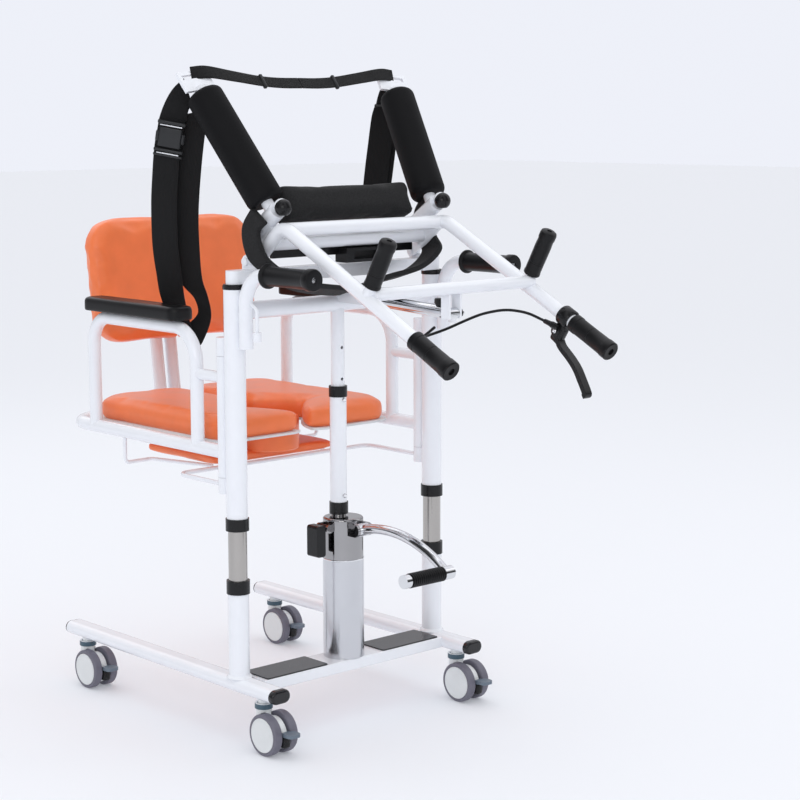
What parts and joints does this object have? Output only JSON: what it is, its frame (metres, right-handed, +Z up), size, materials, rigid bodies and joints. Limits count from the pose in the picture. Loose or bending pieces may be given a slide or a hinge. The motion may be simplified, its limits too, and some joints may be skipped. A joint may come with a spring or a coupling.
{
  "type": "sit to stand lift",
  "caption": "Wheeled sit to stand lift with a split seat and backrest that swing open, a foot-pumped ram, and a tilting torso support with underarm rolls.",
  "frame": {"origin": "floor point midway between the two main posts", "axes": "+Z up; -Y towards the patient handles and pump lever; +Y towards the seat back; +X to the left of a person seated facing -Y"},
  "size_m": [0.5376, 1.0931, 1.2],
  "materials": {
    "white_powder_coat": "satin",
    "polished_aluminium": "polished",
    "chrome_plate": "polished",
    "brushed_stainless": "brushed",
    "orange_leatherette": "satin",
    "black_foam": "matt",
    "black_plastic": "matt",
    "white_plastic": "satin",
    "grey_tyre": "matt",
    "pedal_blue_grey": "matt",
    "mesh_fabric": "matt",
    "webbing": "matt"
  },
  "bodies": {
    "base": {"base_rail_right": "white_powder_coat", "base_rail_left": "white_powder_coat", "foot_crossbar": "white_powder_coat", "foot_pads_and_plugs": "black_plastic", "lower_post_collars": "black_plastic", "guide_tubes": "brushed_stainless", "pump_cylinder": "polished_aluminium", "pump_head": "chrome_plate"},
    "castor_front_right": {"castor_housing_front_right": "white_plastic"},
    "wheels_front_right": {"castor_wheels_front_right": "grey_tyre"},
    "pedal_front_right": {"castor_pedal_front_right": "pedal_blue_grey"},
    "castor_front_left": {"castor_housing_front_left": "white_plastic"},
    "wheels_front_left": {"castor_wheels_front_left": "grey_tyre"},
    "pedal_front_left": {"castor_pedal_front_left": "pedal_blue_grey"},
    "castor_rear_right": {"castor_housing_rear_right": "white_plastic"},
    "wheels_rear_right": {"castor_wheels_rear_right": "grey_tyre"},
    "pedal_rear_right": {"castor_pedal_rear_right": "pedal_blue_grey"},
    "castor_rear_left": {"castor_housing_rear_left": "white_plastic"},
    "wheels_rear_left": {"castor_wheels_rear_left": "grey_tyre"},
    "pedal_rear_left": {"castor_pedal_rear_left": "pedal_blue_grey"},
    "lever": {"pump_lever": "chrome_plate", "pump_foot_bar": "black_foam"},
    "release": {"release_pedal": "black_plastic"},
    "ram": {"ram_rod": "chrome_plate", "column_collars": "black_plastic", "column_sleeve": "white_powder_coat"},
    "upper_frame": {"upper_posts": "white_powder_coat", "upper_post_collars": "black_plastic", "push_handles": "white_powder_coat", "push_grips": "black_plastic", "top_bar": "white_powder_coat", "crossbar": "white_powder_coat", "hinge_barrels": "white_powder_coat", "column_tube": "white_powder_coat"},
    "seat_right": {"seat_frame_right": "white_powder_coat", "seat_cushion_right": "orange_leatherette", "backrest_right": "orange_leatherette", "arm_pad_right": "orange_leatherette"},
    "seat_left": {"seat_frame_left": "white_powder_coat", "seat_cushion_left": "orange_leatherette", "backrest_left": "orange_leatherette", "arm_pad_left": "orange_leatherette"},
    "cover": {"commode_cover": "orange_leatherette"},
    "plug": {"seat_plug": "orange_leatherette"},
    "torso": {"torso_frame": "white_powder_coat", "torso_grips": "black_plastic", "chest_pad": "mesh_fabric", "chest_board": "black_plastic", "support_band": "mesh_fabric", "lever_clamp": "black_plastic", "lock_cable": "black_plastic"},
    "hand_lever": {"release_lever": "black_plastic"},
    "strut_body": {"strut_cylinder": "chrome_plate"},
    "strut_piston": {"strut_rod": "chrome_plate"},
    "arm_right": {"arm_frame_right": "white_powder_coat", "arm_roll_right": "black_foam", "arm_strap_right": "webbing"},
    "arm_left": {"arm_frame_left": "white_powder_coat", "arm_roll_left": "black_foam", "arm_strap_left": "webbing"}
  },
  "joints": [
    {"name": "swivel_front_right", "type": "hinge", "parent": "base", "child": "castor_front_right", "pos_m": [-0.2357, -0.069, 0.08], "axis": [0, 0, 1], "continuous": true},
    {"name": "roll_front_right", "type": "hinge", "parent": "castor_front_right", "child": "wheels_front_right", "pos_m": [-0.2357, -0.096, 0.0375], "axis": [1, 0, 0], "continuous": true},
    {"name": "brake_front_right", "type": "hinge", "parent": "castor_front_right", "child": "pedal_front_right", "pos_m": [-0.2357, -0.115, 0.042], "axis": [1, 0, 0], "range_deg": [0, 18]},
    {"name": "swivel_front_left", "type": "hinge", "parent": "base", "child": "castor_front_left", "pos_m": [0.2357, -0.069, 0.08], "axis": [0, 0, 1], "continuous": true},
    {"name": "roll_front_left", "type": "hinge", "parent": "castor_front_left", "child": "wheels_front_left", "pos_m": [0.2357, -0.096, 0.0375], "axis": [1, 0, 0], "continuous": true},
    {"name": "brake_front_left", "type": "hinge", "parent": "castor_front_left", "child": "pedal_front_left", "pos_m": [0.2357, -0.115, 0.042], "axis": [1, 0, 0], "range_deg": [0, 18]},
    {"name": "swivel_rear_right", "type": "hinge", "parent": "base", "child": "castor_rear_right", "pos_m": [-0.2357, 0.49, 0.08], "axis": [0, 0, 1], "continuous": true},
    {"name": "roll_rear_right", "type": "hinge", "parent": "castor_rear_right", "child": "wheels_rear_right", "pos_m": [-0.2357, 0.463, 0.0375], "axis": [1, 0, 0], "continuous": true},
    {"name": "brake_rear_right", "type": "hinge", "parent": "castor_rear_right", "child": "pedal_rear_right", "pos_m": [-0.2357, 0.444, 0.042], "axis": [1, 0, 0], "range_deg": [0, 18]},
    {"name": "swivel_rear_left", "type": "hinge", "parent": "base", "child": "castor_rear_left", "pos_m": [0.2357, 0.49, 0.08], "axis": [0, 0, 1], "continuous": true},
    {"name": "roll_rear_left", "type": "hinge", "parent": "castor_rear_left", "child": "wheels_rear_left", "pos_m": [0.2357, 0.463, 0.0375], "axis": [1, 0, 0], "continuous": true},
    {"name": "brake_rear_left", "type": "hinge", "parent": "castor_rear_left", "child": "pedal_rear_left", "pos_m": [0.2357, 0.444, 0.042], "axis": [1, 0, 0], "range_deg": [0, 18]},
    {"name": "pump_lever", "type": "hinge", "parent": "base", "child": "lever", "pos_m": [0, -0.064, 0.362], "axis": [1, 0, 0], "range_deg": [0, 30]},
    {"name": "release_pedal", "type": "hinge", "parent": "base", "child": "release", "pos_m": [-0.045, -0.012, 0.364], "axis": [0, -1, 0], "range_deg": [0, 12]},
    {"name": "lift_ram", "type": "slide", "parent": "base", "child": "ram", "axis": [0, 0, 1], "range_m": [0, 0.15]},
    {"name": "height_pins", "type": "slide", "parent": "ram", "child": "upper_frame", "axis": [0, 0, 1], "range_m": [-0.03, 0.05]},
    {"name": "seat_right", "type": "hinge", "parent": "upper_frame", "child": "seat_right", "pos_m": [-0.2357, 0.033, 0.59], "axis": [0, 0, 1], "range_deg": [0, 90]},
    {"name": "seat_left", "type": "hinge", "parent": "upper_frame", "child": "seat_left", "pos_m": [0.2357, 0.033, 0.59], "axis": [0, 0, -1], "range_deg": [0, 90]},
    {"name": "cover_slide", "type": "slide", "parent": "upper_frame", "child": "cover", "axis": [0, 1, 0], "range_m": [0, 0.2]},
    {"name": "plug_lift", "type": "slide", "parent": "upper_frame", "child": "plug", "axis": [0, 0, 1], "range_m": [0, 0.08]},
    {"name": "torso_tilt", "type": "hinge", "parent": "upper_frame", "child": "torso", "pos_m": [0, 0.008, 0.859], "axis": [-1, 0, 0], "range_deg": [0, 20]},
    {"name": "hand_lever", "type": "hinge", "parent": "torso", "child": "hand_lever", "pos_m": [0.188, -0.372, 0.738], "axis": [1, 0, 0], "range_deg": [0, 12]},
    {"name": "strut_pin", "type": "hinge", "parent": "torso", "child": "strut_body", "pos_m": [0, -0.3, 0.777], "axis": [1, 0, 0], "range_deg": [-9, 1]},
    {"name": "strut_stroke", "type": "slide", "parent": "strut_body", "child": "strut_piston", "axis": [0, 0.9988, 0.048], "range_m": [-0.001, 0.032]},
    {"name": "arm_right", "type": "hinge", "parent": "torso", "child": "arm_right", "pos_m": [-0.188, -0.041, 0.935], "axis": [0, -0.8192, 0.5736], "range_deg": [0, 40], "deforming": ["arm_strap_right"]},
    {"name": "arm_left", "type": "hinge", "parent": "torso", "child": "arm_left", "pos_m": [0.188, -0.041, 0.935], "axis": [0, 0.8192, -0.5736], "range_deg": [0, 40], "deforming": ["arm_strap_left"]}
  ],
  "couplings": [
    {"joint": "strut_pin", "follows": "torso_tilt", "ratio": -0.4},
    {"joint": "strut_stroke", "follows": "torso_tilt", "m_per_rad": 0.0859}
  ]
}
